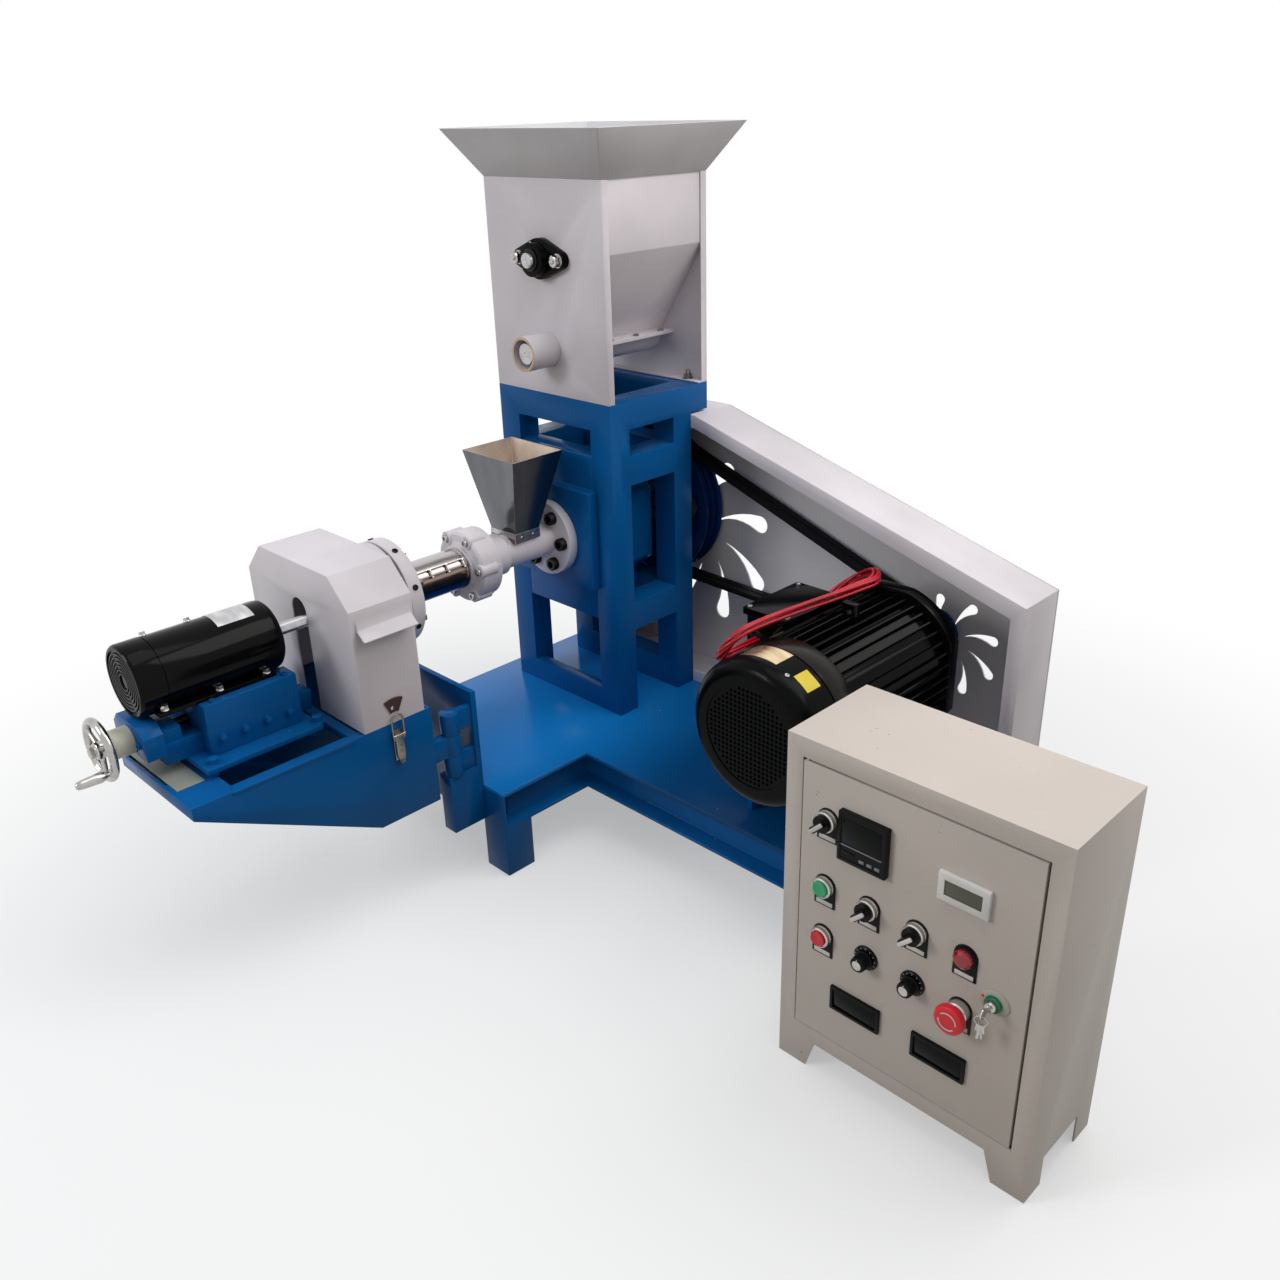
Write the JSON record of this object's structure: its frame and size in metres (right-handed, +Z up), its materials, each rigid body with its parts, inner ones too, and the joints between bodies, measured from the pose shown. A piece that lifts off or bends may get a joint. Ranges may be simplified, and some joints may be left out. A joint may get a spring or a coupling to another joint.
{
  "type": "floating feed extruder",
  "caption": "Screw extruder for floating feed: hopper on a tower, barrel with swing-out rotary cutter table, guarded belt drive and free-standing control cabinet.",
  "frame": {"origin": "centre of the overall box, on the floor", "axes": "+Z up; the screw discharges towards -Y; the drive motor and the cabinet stand towards +X"},
  "size_m": [1.391, 1.263, 1.21],
  "materials": {
    "blue_paint": "gloss enamel",
    "dark_blue_paint": "gloss enamel",
    "pale_paint": "satin enamel",
    "grey_sheet": "satin",
    "black_casting": "painted casting",
    "black_paint": "gloss enamel",
    "bright_steel": "machined",
    "stainless": "brushed sheet",
    "polished_steel": "polished band",
    "plated_steel": "zinc plated",
    "plated_collar": "plated collar on a black legend plate",
    "chrome": "polished",
    "belt_rubber": "moulded rubber",
    "red_lead": "insulated wires",
    "cream_plastic": "moulded",
    "beige_paint": "textured powder coat",
    "black_plastic": "moulded",
    "green_plastic": "moulded",
    "red_plastic": "moulded"
  },
  "bodies": {
    "frame": {"base_frame": "blue_paint", "base_deck": "blue_paint", "tower_frame": "blue_paint", "tower_front_plate": "blue_paint", "bearing_housing": "blue_paint", "hopper_front_plate": "pale_paint", "hopper_back_plate": "pale_paint", "hopper_funnel": "pale_paint", "hopper_flare": "grey_sheet", "feed_trough": "pale_paint", "feed_tube": "pale_paint", "flange_bearings": "black_casting", "inlet_chute": "stainless", "barrel_neck": "pale_paint", "barrel_clamp": "pale_paint", "band_heater": "polished_steel", "die_ring": "pale_paint", "die_plate": "bright_steel", "drive_belts": "belt_rubber", "belt_guard": "pale_paint", "guard_back_panel": "pale_paint", "motor_stand": "blue_paint", "drive_motor": "black_paint", "fan_cowl": "black_paint", "terminal_box": "black_paint", "motor_leads": "red_lead", "hinge_bracket": "blue_paint", "cabinet_box": "beige_paint"},
    "screw": {"main_screw": "bright_steel", "screw_pulley": "dark_blue_paint"},
    "motor_shaft": {"motor_pulley": "dark_blue_paint"},
    "agitator": {"agitator": "bright_steel"},
    "feed_auger": {"feed_auger": "bright_steel"},
    "table": {"cutter_table": "blue_paint", "catch_sheet": "grey_sheet", "slide_bed": "blue_paint", "hood": "pale_paint", "hood_latch": "plated_steel", "handwheel_collar": "cream_plastic"},
    "carriage": {"carriage": "blue_paint", "cutter_motor": "black_paint"},
    "cutter": {"cutter_blades": "bright_steel"},
    "handwheel": {"handwheel": "chrome"},
    "door": {"cabinet_door": "beige_paint", "door_lock": "plated_steel", "panel_instruments": "black_plastic", "switch_collars": "plated_collar"},
    "selector_1": {"selector_1": "black_plastic"},
    "selector_2": {"selector_2": "black_plastic"},
    "selector_3": {"selector_3": "black_plastic"},
    "speed_knob_1": {"speed_knob_1": "black_plastic"},
    "speed_knob_2": {"speed_knob_2": "black_plastic"},
    "start_button": {"start_button": "green_plastic"},
    "stop_button": {"stop_button": "red_plastic"},
    "emergency_stop": {"emergency_stop": "red_plastic"}
  },
  "joints": [
    {"name": "screw_turn", "type": "hinge", "parent": "frame", "child": "screw", "pos_m": [-0.4955, 0.4145, 0.508], "axis": [0, 1, 0], "continuous": true},
    {"name": "motor_turn", "type": "hinge", "parent": "frame", "child": "motor_shaft", "pos_m": [0.1405, 0.5445, 0.392], "axis": [0, 1, 0], "continuous": true},
    {"name": "agitator_turn", "type": "hinge", "parent": "frame", "child": "agitator", "pos_m": [-0.4955, 0.4395, 1.004], "axis": [0, 1, 0], "continuous": true},
    {"name": "auger_turn", "type": "hinge", "parent": "frame", "child": "feed_auger", "pos_m": [-0.4955, 0.4395, 0.85], "axis": [0, 1, 0], "continuous": true},
    {"name": "table_swing", "type": "hinge", "parent": "frame", "child": "table", "pos_m": [-0.356, -0.0725, 0.3], "axis": [0, 0, 1], "range_deg": [0, 90]},
    {"name": "handwheel_turn", "type": "hinge", "parent": "table", "child": "handwheel", "pos_m": [-0.4955, -0.5755, 0.42], "axis": [0, -1, 0], "range_deg": [0, 2160]},
    {"name": "carriage_slide", "type": "slide", "parent": "table", "child": "carriage", "axis": [0, -1, 0], "range_m": [0, 0.024]},
    {"name": "cutter_turn", "type": "hinge", "parent": "carriage", "child": "cutter", "pos_m": [-0.4955, -0.1855, 0.508], "axis": [0, 1, 0], "continuous": true},
    {"name": "door_swing", "type": "hinge", "parent": "frame", "child": "door", "pos_m": [0.3445, -0.0185, 0.25], "axis": [0, 0, -1], "range_deg": [0, 100]},
    {"name": "selector_1_turn", "type": "hinge", "parent": "door", "child": "selector_1", "pos_m": [0.3815, -0.0225, 0.422], "axis": [0, -1, 0], "range_deg": [0, 90]},
    {"name": "selector_2_turn", "type": "hinge", "parent": "door", "child": "selector_2", "pos_m": [0.4495, -0.0225, 0.322], "axis": [0, -1, 0], "range_deg": [0, 90]},
    {"name": "selector_3_turn", "type": "hinge", "parent": "door", "child": "selector_3", "pos_m": [0.5185, -0.0225, 0.322], "axis": [0, -1, 0], "range_deg": [0, 90]},
    {"name": "speed_1_turn", "type": "hinge", "parent": "door", "child": "speed_knob_1", "pos_m": [0.4495, -0.0225, 0.243], "axis": [0, -1, 0], "range_deg": [-135, 135]},
    {"name": "speed_2_turn", "type": "hinge", "parent": "door", "child": "speed_knob_2", "pos_m": [0.5185, -0.0225, 0.243], "axis": [0, -1, 0], "range_deg": [-135, 135]},
    {"name": "start_press", "type": "slide", "parent": "door", "child": "start_button", "axis": [0, 1, 0], "range_m": [0, 0.003], "stiffness_N_per_m": 600},
    {"name": "stop_press", "type": "slide", "parent": "door", "child": "stop_button", "axis": [0, 1, 0], "range_m": [0, 0.003], "stiffness_N_per_m": 600},
    {"name": "emergency_press", "type": "slide", "parent": "door", "child": "emergency_stop", "axis": [0, 1, 0], "range_m": [0, 0.005]}
  ],
  "couplings": [
    {"joint": "motor_turn", "follows": "screw_turn", "ratio": 3.5641},
    {"joint": "handwheel_turn", "follows": "carriage_slide", "rad_per_m": 1570.8}
  ]
}
